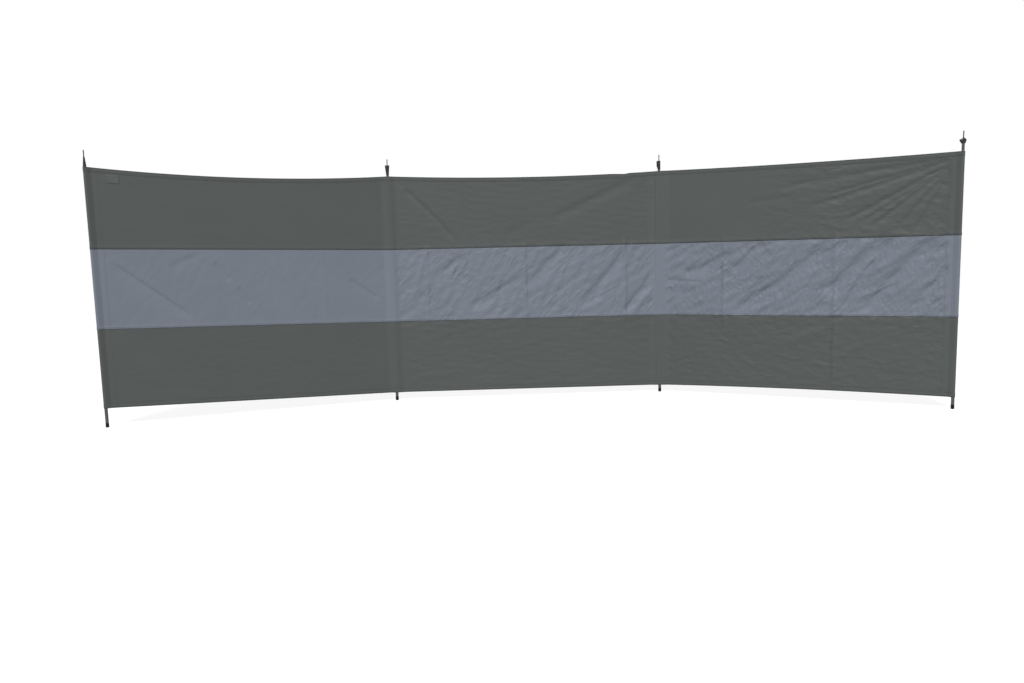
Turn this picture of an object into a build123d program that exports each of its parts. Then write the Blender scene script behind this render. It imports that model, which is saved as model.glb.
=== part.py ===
"""Beach windbreak: three cloth bays carried in sleeves on four two-section steel poles.

Units are millimetres and +Z is up. The origin is on the ground, in the middle of the flat
underside of the second pole's foot. The middle bay runs along +X from there, and the front of
the windbreak faces -Y. The two outer bays fold about the second and third poles.
"""
from build123d import *
import math
import os

# Cloth
bay_length = 1744.0
cloth_height = 1400.0
cloth_thickness = 2.0
seam_lap_height = 12.0
seam_lap_thickness = 0.8
hem_height = 28.0
hem_thickness = 2.8
band_count = 3
top_sags = [35.0, 21.0, 8.0]
bottom_arches = [0.0, 0.0, 9.0]
cloth_rises = [114.0, 52.0, 46.0, 69.0]
left_turn_deg = 18.1
right_turn_deg = 28.0

# Sleeves round the poles
sleeve_clearance = 0.3
sleeve_wall = 1.6
margin_thickness = 2.4
margin_reach = 25.0
hinge_clearance = 0.3
end_sleeve_reach = 62.0
end_sleeve_tip = 1.4
end_pocket_tip = 0.3
end_pocket_inset = 4.0
overrun = 20.0

# Sewn patch near the left upper corner
patch_width = 68.0
patch_height = 50.0
patch_thickness = 0.8
patch_from_pole = 107.0
patch_below_hem = 3.0

# Poles
lower_tube_diameter = 19.0
lower_tube_wall = 1.0
upper_tube_diameter = 16.0
upper_tube_wall = 0.8
lower_tube_top = 800.0
neck_length = 12.0
neck_clearance = 0.1
bead_depth = 0.9
bead_height = 6.0
upper_tube_insert = 90.0

# Feet
foot_height = 26.0
foot_proud = 0.3
foot_chamfer = 1.6
foot_plug_length = 22.0
plug_clearance = 0.1

# Caps and pins
cap_tops = [56.0, 69.0, 64.0, 73.0]
cap_wall = 1.2
cap_roofs = [52.0, 12.0, 12.0, 12.0]
cap_skirts = [22.0, 50.0, 42.0, 20.0]
cap_shoulders = [2.0, 12.0, 12.0, 3.0]
cap_crown_radii = [4.2, 9.3, 9.3, 5.0]

# Hooks for the storm lines, on the side of each cap but the first
cap_hooks = [False, True, True, True]
hook_turns_deg = [0.0, -90.0, 170.0, 185.0]
hook_tops = [0.0, 12.0, 12.0, 3.0]
hook_widths = [0.0, 28.0, 15.0, 20.0]
hook_root_widths = [0.0, 17.0, 15.0, 14.0]
hook_reaches = [0.0, 15.0, 15.5, 18.0]
hook_back_reaches = [0.0, 0.0, 0.0, 13.0]
hook_heights = [0.0, 58.0, 50.0, 22.0]
hook_full_reach_shares = [0.0, 0.85, 0.4, 0.7]
hook_lip = 2.0
pin_diameter = 6.0
pin_length = 38.0
pin_seat = 9.0
pin_spigot_diameter = 4.6
pin_tip_length = 1.6
pin_tip_radius = 1.8
pin_clearance = 0.05

lower_radius = lower_tube_diameter / 2
upper_radius = upper_tube_diameter / 2
pin_radius = pin_diameter / 2
spigot_radius = pin_spigot_diameter / 2
sleeve_inner = lower_radius + sleeve_clearance
sleeve_outer = sleeve_inner + sleeve_wall
foot_radius = lower_radius + foot_proud
foot_plug_radius = lower_radius - lower_tube_wall - plug_clearance
cap_inner = upper_radius + plug_clearance

# Plan: one heading for each bay, and one place for each pole
bay_headings = [left_turn_deg, 0.0, -right_turn_deg]
bay_names = ["left_bay", "middle_bay", "right_bay"]
band_names = ["bottom_band", "middle_band", "top_band"]


def along(start, heading_deg, distance):
    """Return the plan point that lies at a distance from start on a heading."""
    heading = math.radians(heading_deg)
    return (start[0] + distance * math.cos(heading), start[1] + distance * math.sin(heading))


second_pole = (0.0, 0.0)
third_pole = along(second_pole, bay_headings[1], bay_length)
pole_places = [
    along(second_pole, bay_headings[0], -bay_length),
    second_pole,
    third_pole,
    along(third_pole, bay_headings[2], bay_length),
]


def bay_plane(bay):
    """Return the upright plane of a bay: X along the bay, Y up, Z towards the front."""
    heading = math.radians(bay_headings[bay])
    place = pole_places[bay]
    return Plane(
        origin=(place[0], place[1], 0.0),
        x_dir=(math.cos(heading), math.sin(heading), 0.0),
        z_dir=(math.sin(heading), -math.cos(heading), 0.0),
    )


def level(bay, height, bow=0.0):
    """Return one edge of a bay as its height at both poles and its rise at mid-bay."""
    return (cloth_rises[bay] + height, cloth_rises[bay + 1] + height, bow)


def bottom_edge(bay, lift=0.0):
    return level(bay, lift, bottom_arches[bay])


def top_edge(bay, drop=0.0):
    return level(bay, cloth_height - drop, -top_sags[bay])


def band_edge(bay, number):
    """Return the seam below band number, counted from the bottom; the ends are at the hems."""
    if number == 0:
        return bottom_edge(bay, hem_height)
    if number == band_count:
        return top_edge(bay, hem_height)
    return level(bay, cloth_height * number / band_count)


def edge_line(edge):
    """Draw an edge from just outside one pole to just outside the next."""
    start = (-overrun, edge[0])
    end = (bay_length + overrun, edge[1])
    if edge[2] == 0.0:
        return Line(start, end)
    middle = (bay_length / 2, (edge[0] + edge[1]) / 2 + edge[2])
    return ThreePointArc(start, middle, end)


def strip(lower, upper, start, end, thickness, offset=0.0):
    """Return the cloth between two edges of a bay, from start to end along it."""
    low_line = edge_line(lower)
    high_line = edge_line(upper)
    ends = [Line(low_line @ 1, high_line @ 1), Line(high_line @ 0, low_line @ 0)]
    whole = make_face([low_line, high_line] + ends)
    height = cloth_height * 2
    window = Pos((start + end) / 2, height / 2) * Rectangle(end - start, height)
    return Pos(0, 0, offset) * extrude(whole & window, thickness / 2, both=True)


def bay_start(bay):
    """Distance from a bay's first pole to where its flat cloth starts."""
    if bay == 0:
        return end_sleeve_reach
    return margin_reach


def bay_end(bay):
    if bay == len(bay_names) - 1:
        return bay_length - end_sleeve_reach
    return bay_length - margin_reach


def make_band(bay, number):
    """One band of cloth. Each band but the lowest laps over the one below it, in front."""
    lower = band_edge(bay, number)
    upper = band_edge(bay, number + 1)
    cloth = strip(lower, upper, bay_start(bay), bay_end(bay), cloth_thickness)
    if number == 0:
        return cloth
    lap_top = (lower[0] + seam_lap_height, lower[1] + seam_lap_height, 0.0)
    offset = (cloth_thickness + seam_lap_thickness) / 2
    lap = strip(lower, lap_top, bay_start(bay), bay_end(bay), seam_lap_thickness, offset)
    return cloth + lap


def make_bottom_hem(bay):
    lower = bottom_edge(bay)
    return strip(lower, bottom_edge(bay, hem_height), bay_start(bay), bay_end(bay), hem_thickness)


def make_top_hem(bay):
    upper = top_edge(bay)
    return strip(top_edge(bay, hem_height), upper, bay_start(bay), bay_end(bay), hem_thickness)


def make_margin(bay, start, end):
    """The sewn-flat margin beside a sleeve, from the lower edge to the upper one."""
    return strip(bottom_edge(bay), top_edge(bay), start, end, margin_thickness)


def teardrop(radius, reach, tip):
    """A circle with two tangents that close on a flat tip of half-height tip."""
    turn = math.atan2(tip, reach) + math.acos(radius / math.hypot(reach, tip))
    touch_x = radius * math.cos(turn)
    touch_y = radius * math.sin(turn)
    wedge = Polygon((touch_x, -touch_y), (reach, -tip), (reach, tip), (touch_x, touch_y), align=None)
    return Circle(radius) + wedge


def upright(profile, bay, at_second_pole):
    """Stand a plan profile on a bay, with its X along the bay, and trim it to the bay's edges."""
    heading = bay_headings[bay]
    place = pole_places[bay]
    if at_second_pole:
        heading = heading + 180.0
        place = pole_places[bay + 1]
    column = Pos(place[0], place[1]) * Rot(0, 0, heading) * extrude(profile, cloth_height * 2)
    bounds = strip(bottom_edge(bay), top_edge(bay), -overrun, bay_length + overrun, cloth_height)
    return column & (bay_plane(bay) * bounds)


def make_end_sleeve(bay, at_second_pole):
    """The cloth's end turned round the pole and sewn back on itself."""
    outside = teardrop(sleeve_outer, end_sleeve_reach, end_sleeve_tip)
    inside = teardrop(sleeve_inner, end_sleeve_reach - end_pocket_inset, end_pocket_tip)
    return upright(outside - inside, bay, at_second_pole)


def make_middle_sleeve(at_second_pole):
    """A snug loop round an inner pole with the middle bay's margin on it."""
    loop = Circle(sleeve_outer) - Circle(sleeve_inner)
    tail_length = margin_reach - sleeve_inner
    tail = Pos(sleeve_inner + tail_length / 2, 0) * Rectangle(tail_length, margin_thickness)
    bore = Circle(sleeve_inner)
    return upright(loop + (tail - bore), 1, at_second_pole)


def make_patch():
    """The plain sewn patch, on the front of the left bay's top band."""
    bay = 0
    upper = top_edge(bay, hem_height + patch_below_hem)
    lower = top_edge(bay, hem_height + patch_below_hem + patch_height)
    offset = (cloth_thickness + patch_thickness) / 2
    end = patch_from_pole + patch_width
    return strip(lower, upper, patch_from_pole, end, patch_thickness, offset)


def turned(points):
    """Spin a closed outline of (radius, height) points about the upright axis."""
    outline = Plane.XZ * Polygon(*points, align=None)
    return revolve(outline, Axis.Z)


def make_lower_tube():
    """Steel tube with a rolled bead that the upper tube stands on and a necked-in mouth."""
    outer = lower_radius
    inner = outer - lower_tube_wall
    neck_inner = upper_radius + neck_clearance
    neck_outer = neck_inner + lower_tube_wall
    bead_low = lower_tube_top - upper_tube_insert - bead_height
    bead_high = bead_low + bead_height
    neck_low = lower_tube_top - neck_length
    points = [
        (inner, foot_height),
        (outer, foot_height),
        (outer, bead_low),
        (outer - bead_depth, bead_low + bead_height / 2),
        (outer, bead_high),
        (outer, neck_low),
        (neck_outer, neck_low + neck_length / 3),
        (neck_outer, lower_tube_top),
        (neck_inner, lower_tube_top),
        (neck_inner, neck_low + neck_length / 3),
        (inner, neck_low),
        (inner, bead_high),
        (inner - bead_depth, bead_low + bead_height / 2),
        (inner, bead_low),
    ]
    return turned(points)


def bead_seat_height():
    """Height at which the upper tube's outer edge meets the sloping top of the bead."""
    inner = lower_radius - lower_tube_wall
    bead_middle = lower_tube_top - upper_tube_insert - bead_height / 2
    share = (upper_radius - (inner - bead_depth)) / bead_depth
    return bead_middle + share * bead_height / 2


def make_upper_tube(pole):
    bottom = bead_seat_height()
    top = cloth_rises[pole] + cloth_height + cap_tops[pole] - cap_roofs[pole]
    ring = Circle(upper_radius) - Circle(upper_radius - upper_tube_wall)
    return Pos(0, 0, bottom) * extrude(ring, top - bottom)


def make_foot():
    """Moulded foot: a head flush with the tube, flat underneath, and a plug up inside the tube."""
    plug_top = foot_height + foot_plug_length
    points = [
        (0, 0),
        (foot_radius - foot_chamfer, 0),
        (foot_radius, foot_chamfer),
        (foot_radius, foot_height),
        (foot_plug_radius, foot_height),
        (foot_plug_radius, plug_top),
        (0, plug_top),
    ]
    return turned(points)


def make_hook(pole):
    """Hook on one side of a cap: a fan seen from that side, an ear seen from beside it."""
    roof = cap_roofs[pole]
    top = hook_tops[pole]
    root = top - hook_heights[pole]
    full_reach_height = root + hook_heights[pole] * hook_full_reach_shares[pole]
    half_root = hook_root_widths[pole] / 2
    half_width = hook_widths[pole] / 2
    reach = hook_reaches[pole]
    back_reach = hook_back_reaches[pole]
    skirt = cap_inner + cap_wall
    fan_points = [(-half_root, root), (half_root, root), (half_width, top)]
    if roof > top:
        half_crown = cap_crown_radii[pole]
        fan_points += [(half_crown, roof), (-half_crown, roof)]
    fan_points.append((-half_width, top))
    fan = extrude(Plane.YZ * Polygon(*fan_points, align=None), reach, both=True)
    side_points = [
        (0, root),
        (skirt, root),
        (reach, full_reach_height),
        (reach, top - hook_lip),
        (0, roof),
    ]
    if back_reach > 0:
        side_points += [(-back_reach, top - hook_lip), (-skirt, root)]
    side = extrude(Plane.XZ * Polygon(*side_points, align=None), hook_widths[pole], both=True)
    return Rot(0, 0, hook_turns_deg[pole]) * (fan & side)


def make_cap(pole):
    """Moulded cap: a bore for the tube, a plain or drawn-in crown and the pin's seat."""
    roof = cap_roofs[pole]
    shoulder = cap_shoulders[pole]
    skirt_end = -cap_skirts[pole]
    skirt = cap_inner + cap_wall
    points = [(0, skirt_end), (skirt, skirt_end), (skirt, shoulder)]
    if shoulder < roof:
        points.append((cap_crown_radii[pole], roof))
    points.append((0, roof))
    cap = turned(points)
    if cap_hooks[pole]:
        cap = cap + make_hook(pole)
    bore = Pos(0, 0, skirt_end) * extrude(Circle(cap_inner), -skirt_end)
    seat = Pos(0, 0, roof - pin_seat) * extrude(Circle(spigot_radius + pin_clearance), pin_seat)
    cap = cap - bore - seat
    tube_top = cloth_rises[pole] + cloth_height + cap_tops[pole] - roof
    return Pos(0, 0, tube_top) * cap


def make_pin(pole):
    """Steel pin with a blunt point, shouldered down to a spigot that fills the cap's seat."""
    shaft_top = pin_seat + pin_length - pin_tip_length
    points = [
        (0, 0),
        (spigot_radius, 0),
        (spigot_radius, pin_seat),
        (pin_radius, pin_seat),
        (pin_radius, shaft_top),
        (pin_tip_radius, pin_seat + pin_length),
        (0, pin_seat + pin_length),
    ]
    top = cloth_rises[pole] + cloth_height + cap_tops[pole]
    return Pos(0, 0, top - pin_seat) * turned(points)


def make_pole(pole):
    """All the pieces of one pole, standing in its place, by name."""
    pieces = {
        "lower_tube": make_lower_tube(),
        "upper_tube": make_upper_tube(pole),
        "foot": make_foot(),
        "cap": make_cap(pole),
        "pin": make_pin(pole),
    }
    place = pole_places[pole]
    named = {}
    for name, piece in pieces.items():
        named[f"pole_{pole + 1}_{name}"] = Pos(place[0], place[1]) * piece
    return named


def make_bay(bay):
    """The bands and hems of one bay, by name."""
    named = {}
    plane = bay_plane(bay)
    for number, band in enumerate(band_names):
        named[f"{bay_names[bay]}_{band}"] = plane * make_band(bay, number)
    named[f"{bay_names[bay]}_bottom_hem"] = plane * make_bottom_hem(bay)
    named[f"{bay_names[bay]}_top_hem"] = plane * make_top_hem(bay)
    return named


def make_sleeves():
    """The four sleeves, and the outer bays' margins that fold about the inner poles."""
    margin_start = sleeve_outer + hinge_clearance
    left_margin = make_margin(0, bay_length - margin_reach, bay_length - margin_start)
    right_margin = make_margin(2, margin_start, margin_reach)
    return {
        "pole_1_sleeve": make_end_sleeve(0, False),
        "pole_2_sleeve": make_middle_sleeve(False),
        "pole_3_sleeve": make_middle_sleeve(True),
        "pole_4_sleeve": make_end_sleeve(2, True),
        "left_bay_margin": bay_plane(0) * left_margin,
        "right_bay_margin": bay_plane(2) * right_margin,
    }


def make_windbreak():
    """Every piece of the windbreak, by name."""
    parts = {}
    for pole in range(len(pole_places)):
        parts.update(make_pole(pole))
    for bay in range(len(bay_names)):
        parts.update(make_bay(bay))
    parts.update(make_sleeves())
    parts["left_bay_corner_patch"] = bay_plane(0) * make_patch()
    return parts


os.makedirs("parts", exist_ok=True)
windbreak = make_windbreak()
for name, solid in windbreak.items():
    export_step(solid, f"parts/{name}.step")
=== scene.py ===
"""Beach windbreak: banded cloth in three bays, sewn sleeves, slender capped poles.

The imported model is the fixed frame. Its poles keep their solids and get their finishes here. The
cloth is made here as thin sheets: each bay's bands and hems follow one line in plan, round the
poles and through the sleeves, and carry the creases, tension folds and ripples of the real cloth.
All lengths are in metres in the model's own frame: X along the middle bay, the front towards -Y.
"""

import math

import bmesh
import bpy
import numpy as np
from bpy.props import FloatProperty, FloatVectorProperty, PointerProperty
from mathutils import Matrix, Vector


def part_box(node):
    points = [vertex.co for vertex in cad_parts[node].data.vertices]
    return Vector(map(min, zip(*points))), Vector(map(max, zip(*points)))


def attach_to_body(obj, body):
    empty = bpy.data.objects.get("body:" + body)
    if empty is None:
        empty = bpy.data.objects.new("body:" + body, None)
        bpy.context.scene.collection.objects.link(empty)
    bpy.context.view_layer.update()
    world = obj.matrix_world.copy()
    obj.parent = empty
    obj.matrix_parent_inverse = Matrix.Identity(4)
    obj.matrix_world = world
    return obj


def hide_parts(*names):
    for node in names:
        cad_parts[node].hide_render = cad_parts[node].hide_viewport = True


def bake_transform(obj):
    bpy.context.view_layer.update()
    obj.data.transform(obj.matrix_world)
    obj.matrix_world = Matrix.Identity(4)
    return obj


bl_info = {
    "name": "Beach windbreak",
    "version": (1, 0, 0),
    "blender": (4, 5, 0),
    "location": "3D View > Sidebar > Windbreak",
    "description": "Builds the cloth, poles and stage of a beach windbreak on its packed frame",
    "category": "Object",
}

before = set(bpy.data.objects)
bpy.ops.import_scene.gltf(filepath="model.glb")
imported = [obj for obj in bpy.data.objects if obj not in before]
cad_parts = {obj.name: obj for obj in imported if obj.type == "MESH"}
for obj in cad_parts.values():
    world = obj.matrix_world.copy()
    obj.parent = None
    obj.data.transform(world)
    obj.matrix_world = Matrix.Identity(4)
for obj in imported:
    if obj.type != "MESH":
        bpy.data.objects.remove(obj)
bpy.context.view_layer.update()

POLE_COUNT = 4
INNER_POLES = (1, 2)
BAY_NAMES = ("left_bay", "middle_bay", "right_bay")
BAND_NAMES = ("bottom_band", "middle_band", "top_band")
ROOT_BODY = "middle_bay"


def length_property(name, description, default):
    """A setting that is one length."""
    return FloatProperty(name=name, description=description, default=default, unit="LENGTH")


def lengths_property(name, description, default):
    """A setting that is a row of lengths, one for each pole or bay."""
    return FloatVectorProperty(
        name=name, description=description, size=len(default), default=default, unit="LENGTH"
    )


def angle_property(name, description, degrees):
    """A setting that is an angle."""
    return FloatProperty(
        name=name, description=description, default=math.radians(degrees), subtype="ANGLE"
    )


def colour_property(name, description, default):
    """A setting that is a colour."""
    return FloatVectorProperty(
        name=name, description=description, subtype="COLOR", size=3, min=0.0, max=1.0, default=default
    )


class ClothSettings(bpy.types.PropertyGroup):
    """Sizes and colours of the cloth."""

    height: length_property("Cloth height", "From the lower edge to the upper edge at a pole", 1.4)
    rises: lengths_property(
        "Rises", "Height of the cloth's lower edge above the ground at each pole",
        (0.114, 0.052, 0.046, 0.069),
    )
    top_sags: lengths_property(
        "Top sags", "How far the upper edge dips in the middle of each bay", (0.035, 0.021, 0.008)
    )
    bottom_arches: lengths_property(
        "Bottom arches", "How far the lower edge rises in the middle of each bay", (0.0, 0.0, 0.009)
    )
    thickness: length_property("Cloth thickness", "Thickness of one layer", 0.0008)
    hem_height: length_property("Hem height", "Height of the folded hems", 0.028)
    hem_tuck: length_property("Hem tuck", "How far a band's edge reaches into its hem", 0.008)
    lap_height: length_property(
        "Lap height", "Height of the lap where two bands are sewn together", 0.012
    )
    lap_offset: length_property(
        "Lap offset", "How far a band stands in front of the one below it at the lap", 0.0012
    )
    sleeve_radius: length_property("Sleeve radius", "Radius of the cloth's line round a pole", 0.0107)
    sleeve_rises: lengths_property(
        "Sleeve rises", "From each inner pole to where the cloth starts to rise over it",
        (0.052, 0.075),
    )
    end_sleeve_neck: length_property(
        "End sleeve neck", "From an end pole to where the two layers of its sleeve meet", 0.03
    )
    end_sleeve_reach: length_property(
        "End sleeve reach", "From an end pole to the line where its sleeve is sewn", 0.062
    )
    middle_sleeve_reach: length_property(
        "Middle sleeve reach", "From an inner pole to each line where its sleeve is sewn", 0.025
    )
    sewn_margin: length_property("Sewn margin", "Flat cloth beyond a sleeve's sewn line", 0.008)
    layer_gap: length_property(
        "Layer gap", "Between the middles of two layers that lie on each other", 0.0026
    )
    fold_strengths: FloatVectorProperty(
        name="Fold strengths", description="Depth of each bay's folds against their drawn depth",
        size=3, default=(2.1, 1.9, 2.5),
    )
    light_step: length_property("Light band step", "Spacing of the light band's mesh", 0.0054)
    dark_step: length_property("Dark band step", "Spacing of the dark bands' mesh", 0.0078)
    sleeve_step: length_property(
        "Sleeve step", "Spacing of the mesh along the cloth at the sleeves", 0.0026
    )
    dark_colour: colour_property(
        "Dark cloth", "Colour of the upper and lower bands", (0.07, 0.077, 0.0755)
    )
    light_colour: colour_property("Light cloth", "Colour of the middle band", (0.151, 0.173, 0.209))
    thread_colour: colour_property("Thread", "Colour of the stitching", (0.03, 0.032, 0.032))


class HardwareSettings(bpy.types.PropertyGroup):
    """Colours of the poles and what is on them."""

    pole_colour: colour_property("Poles", "Colour of the coated steel tubes", (0.055, 0.057, 0.058))
    cap_colour: colour_property("Caps", "Colour of the moulded caps", (0.028, 0.0285, 0.0285))
    foot_colour: colour_property("Feet", "Colour of the moulded feet", (0.01, 0.01, 0.01))
    pin_colour: colour_property("Pins", "Colour of the steel pins", (0.045, 0.045, 0.045))


class StageSettings(bpy.types.PropertyGroup):
    """The camera, the lamps and the floor."""

    camera_place: FloatVectorProperty(
        name="Camera place", description="Where the camera stands",
        size=3, default=(0.5526, -5.6739, 1.114), subtype="TRANSLATION",
    )
    camera_heading: angle_property("Camera heading", "Turn to the right from +Y", 2.16)
    camera_pitch: angle_property("Camera pitch", "Tilt below the horizon", 7.51)
    camera_roll: angle_property(
        "Camera roll", "Turn about the line of sight, clockwise from behind", 1.48
    )
    camera_lens: FloatProperty(
        name="Lens", description="Focal length in millimetres on a 36 mm wide sensor", default=30.62
    )
    key_strength: FloatProperty(
        name="Key light", description="Strength of the main light", default=2.88
    )
    key_bearing: angle_property(
        "Key bearing", "Where the main light stands, to the left of straight in front", 14
    )
    key_height: angle_property("Key height", "Angle of the main light above the horizon", 48)
    light_spread: angle_property("Light spread", "Apparent size of the two lights", 24)
    back_strength: FloatProperty(
        name="Back light", description="Strength of the light from behind", default=2.2
    )
    back_bearing: angle_property(
        "Back bearing", "Where the back light stands, to the left of straight in front", 200
    )
    back_height: angle_property("Back height", "Angle of the back light above the horizon", 42)
    sky_strength: FloatProperty(
        name="Sky strength", description="Strength of the even light from all round", default=0.36
    )
    floor_size: length_property("Floor size", "Length of the floor's sides", 120.0)
    floor_shade: FloatProperty(
        name="Floor shading", description="Share of the floor's look that takes light and shadow",
        default=0.3, min=0.0, max=1.0,
    )


def plan(vector):
    """The plan place of a point, as an array."""
    return np.array((vector[0], vector[1]), float)


def pole_axis(number):
    """The plan place of a pole, from its foot in the frame."""
    low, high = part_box(f"pole_{number}_foot")
    return plan((low + high) / 2)


POLE_AXES = [pole_axis(number + 1) for number in range(POLE_COUNT)]
BAY_LENGTH = float(np.linalg.norm(POLE_AXES[2] - POLE_AXES[1]))

# Points that draw the cloth's plan line round a pole, and on the rises beside poles 2 and 3
ARC_POINTS = 60
RISE_POINTS = {1: 16, 2: 24}

# How rounded the two ends of a rise over an inner pole are, as a share of its length
RISE_ROUNDING = 0.22


def bay_along(bay):
    """The plan direction of a bay, from its first pole to its second."""
    run = POLE_AXES[bay + 1] - POLE_AXES[bay]
    return run / np.linalg.norm(run)


def to_front(direction):
    """The plan direction that is to the front of a line running along direction."""
    return np.array((direction[1], -direction[0]))


def touching_angle(centre, point, radius, side):
    """Angle of the point where a line from point touches a circle, on the side given."""
    offset = point - centre
    swing = math.acos(radius / np.linalg.norm(offset))
    base = math.atan2(offset[1], offset[0])
    angles = (base + swing, base - swing)
    return max(angles, key=lambda a: math.cos(a) * side[0] + math.sin(a) * side[1])


def arc_points(centre, radius, start, end, via):
    """Points along a circle from one angle to another, round the side of the direction via."""
    turn = (end - start) % math.tau
    middle = start + turn / 2
    if math.cos(middle) * via[0] + math.sin(middle) * via[1] < 0:
        turn -= math.tau
    angles = start + np.linspace(0.0, 1.0, ARC_POINTS) * turn
    return centre + radius * np.stack((np.cos(angles), np.sin(angles)), 1)


def front_rise(cloth, pole, distance):
    """How far the cloth stands in front of its bay's plane at a distance from an inner pole."""
    part = np.clip(np.abs(distance) / cloth.sleeve_rises[pole - 1], 0.0, 1.0)
    soft = RISE_ROUNDING
    over_pole = np.minimum(part, soft)
    at_plane = np.maximum(part - (1.0 - soft), 0.0)
    fall = part - soft / 2 + (soft - over_pole) ** 2 / (2 * soft) - at_plane**2 / (2 * soft)
    return cloth.sleeve_radius * (1.0 - fall / (1.0 - soft))


def beside_pole(cloth, bay, pole, distances, lift=0.0):
    """Places on a bay's cloth at distances from an inner pole, set back by lift."""
    along = bay_along(bay)
    away = along if bay == pole else -along
    out = front_rise(cloth, pole, distances) - lift
    return POLE_AXES[pole] + distances[:, None] * away + out[:, None] * to_front(along)


def corner_distance(cloth, pole):
    """Distance from an inner pole at which the fronts of its two bays meet."""
    cosine = float(bay_along(pole - 1) @ bay_along(pole))
    return cloth.sleeve_radius * math.tan(math.acos(cosine) / 2)


def past_inner_pole(cloth, pole, before, after):
    """The cloth's front line past an inner pole, from a distance before it to one after it."""
    corner = corner_distance(cloth, pole)
    count = max(RISE_POINTS.values())
    first = beside_pole(cloth, pole - 1, pole, np.linspace(before, corner, count))
    second = beside_pole(cloth, pole, pole, np.linspace(corner, after, count)[1:])
    return np.concatenate((first, second))


def end_pole_line(cloth, pole, into_bay, front):
    """The cloth's line from the back sewn line of an end sleeve round the pole to the front one."""
    centre = POLE_AXES[pole]
    back = -front * cloth.layer_gap
    front_sewn = centre + into_bay * cloth.end_sleeve_reach
    front_neck = centre + into_bay * cloth.end_sleeve_neck
    back_sewn = front_sewn + back
    back_neck = front_neck + back
    back_edge = back_sewn + into_bay * cloth.sewn_margin
    start = touching_angle(centre, back_neck, cloth.sleeve_radius, -front)
    end = touching_angle(centre, front_neck, cloth.sleeve_radius, front)
    arc = arc_points(centre, cloth.sleeve_radius, start, end, -into_bay)
    return np.concatenate(([back_edge, back_sewn, back_neck], arc, [front_neck, front_sewn]))


def bay_line(cloth, bay):
    """The plan line of a bay's cloth from its left end to its right end, seen from the front."""
    along = bay_along(bay)
    front = to_front(along)
    sewn = cloth.middle_sleeve_reach
    first_rise, second_rise = cloth.sleeve_rises
    if bay == 0:
        start = end_pole_line(cloth, 0, along, front)
        return np.concatenate((start, past_inner_pole(cloth, 1, first_rise, sewn)))
    if bay == 1:
        start = beside_pole(cloth, 1, 1, np.linspace(sewn, first_rise, RISE_POINTS[1]))
        end = beside_pole(cloth, 1, 2, np.linspace(second_rise, sewn, RISE_POINTS[2]))
        return np.concatenate((start, end))
    end = end_pole_line(cloth, 3, -along, front)[::-1]
    return np.concatenate((past_inner_pole(cloth, 2, sewn, second_rise), end))


def bay_distance(bay, points):
    """Distance of plan points along a bay, from its first pole's axis."""
    return (points - POLE_AXES[bay]) @ bay_along(bay)


# Spacing and least number of the spots on a plan line that its columns are chosen from, and the
# reach to each side that gives the line's direction at a column
SPOT_STEP = 0.0005
LEAST_SPOTS = 200
DIRECTION_REACH = 0.0004


class Columns:
    """The columns of a cloth mesh: places and outward directions along its plan line."""

    def __init__(self, points, step_at):
        steps = np.linalg.norm(np.diff(points, axis=0), axis=1)
        lengths = np.concatenate(([0.0], np.cumsum(steps)))
        end = lengths[-1]

        def places_at(spots):
            return np.stack([np.interp(spots, lengths, points[:, axis]) for axis in (0, 1)], 1)

        spots = np.linspace(0.0, end, max(LEAST_SPOTS, int(end / SPOT_STEP)))
        crowding = np.cumsum(np.diff(spots) / step_at(places_at(spots))[1:])
        crowding = np.concatenate(([0.0], crowding))
        count = int(math.ceil(crowding[-1]))
        self.length = float(end)
        self.along = np.interp(np.linspace(0.0, crowding[-1], count + 1), crowding, spots)
        self.places = places_at(self.along)
        ahead = places_at(np.minimum(self.along + DIRECTION_REACH, end))
        behind = places_at(np.maximum(self.along - DIRECTION_REACH, 0.0))
        tangents = ahead - behind
        tangents /= np.linalg.norm(tangents, axis=1)[:, None]
        self.outward = np.stack((tangents[:, 1], -tangents[:, 0]), 1)


def edge_height(cloth, points, share, top_bow=0.0, bottom_bow=0.0):
    """Height of a line on the cloth over plan points, at a share of the cloth's height.

    The line sags with the upper edge and arches with the lower edge by the shares given.
    """
    heights = np.zeros(len(points))
    taken = np.zeros(len(points), bool)
    for bay in range(len(BAY_NAMES)):
        at = bay_distance(bay, points)
        here = ~taken & ((at <= BAY_LENGTH) | (bay == len(BAY_NAMES) - 1))
        part = np.clip(at / BAY_LENGTH, 0.0, 1.0)
        low = cloth.rises[bay] + (cloth.rises[bay + 1] - cloth.rises[bay]) * part
        bow = 1.0 - (2.0 * part - 1.0) ** 2
        height = low + share * cloth.height
        height = height - top_bow * cloth.top_sags[bay] * bow
        height = height + bottom_bow * cloth.bottom_arches[bay] * bow
        heights[here] = height[here]
        taken |= here
    return heights


def lower_edge(cloth, points):
    """Height of the cloth's lower edge."""
    return edge_height(cloth, points, 0.0, bottom_bow=1.0)


# Kink in the upper edge where the middle bay was folded: how far along the bay it is, its depth,
# and its width before and after that place
KINK_AT = 1.525
KINK_DEPTH = 0.0042
KINK_WIDTHS = (0.06, 0.016)


def upper_edge(cloth, points):
    """Height of the cloth's upper edge, with its small kink."""
    past_crease = bay_distance(1, points) - KINK_AT
    width = np.where(past_crease > 0.0, KINK_WIDTHS[1], KINK_WIDTHS[0])
    kink = KINK_DEPTH * np.exp(-((past_crease / width) ** 2))
    return edge_height(cloth, points, 1.0, top_bow=1.0) - kink


def band_edges(cloth, points, band):
    """Heights of a band's lower and upper ends, with its lap and its tucks into the hems."""
    tuck = cloth.hem_height - cloth.hem_tuck
    low = lower_edge(cloth, points) + tuck
    if band > 0:
        low = edge_height(cloth, points, band / len(BAND_NAMES))
    high = upper_edge(cloth, points) - tuck
    if band < len(BAND_NAMES) - 1:
        high = edge_height(cloth, points, (band + 1) / len(BAND_NAMES)) + cloth.lap_height
    return low, high


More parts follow.
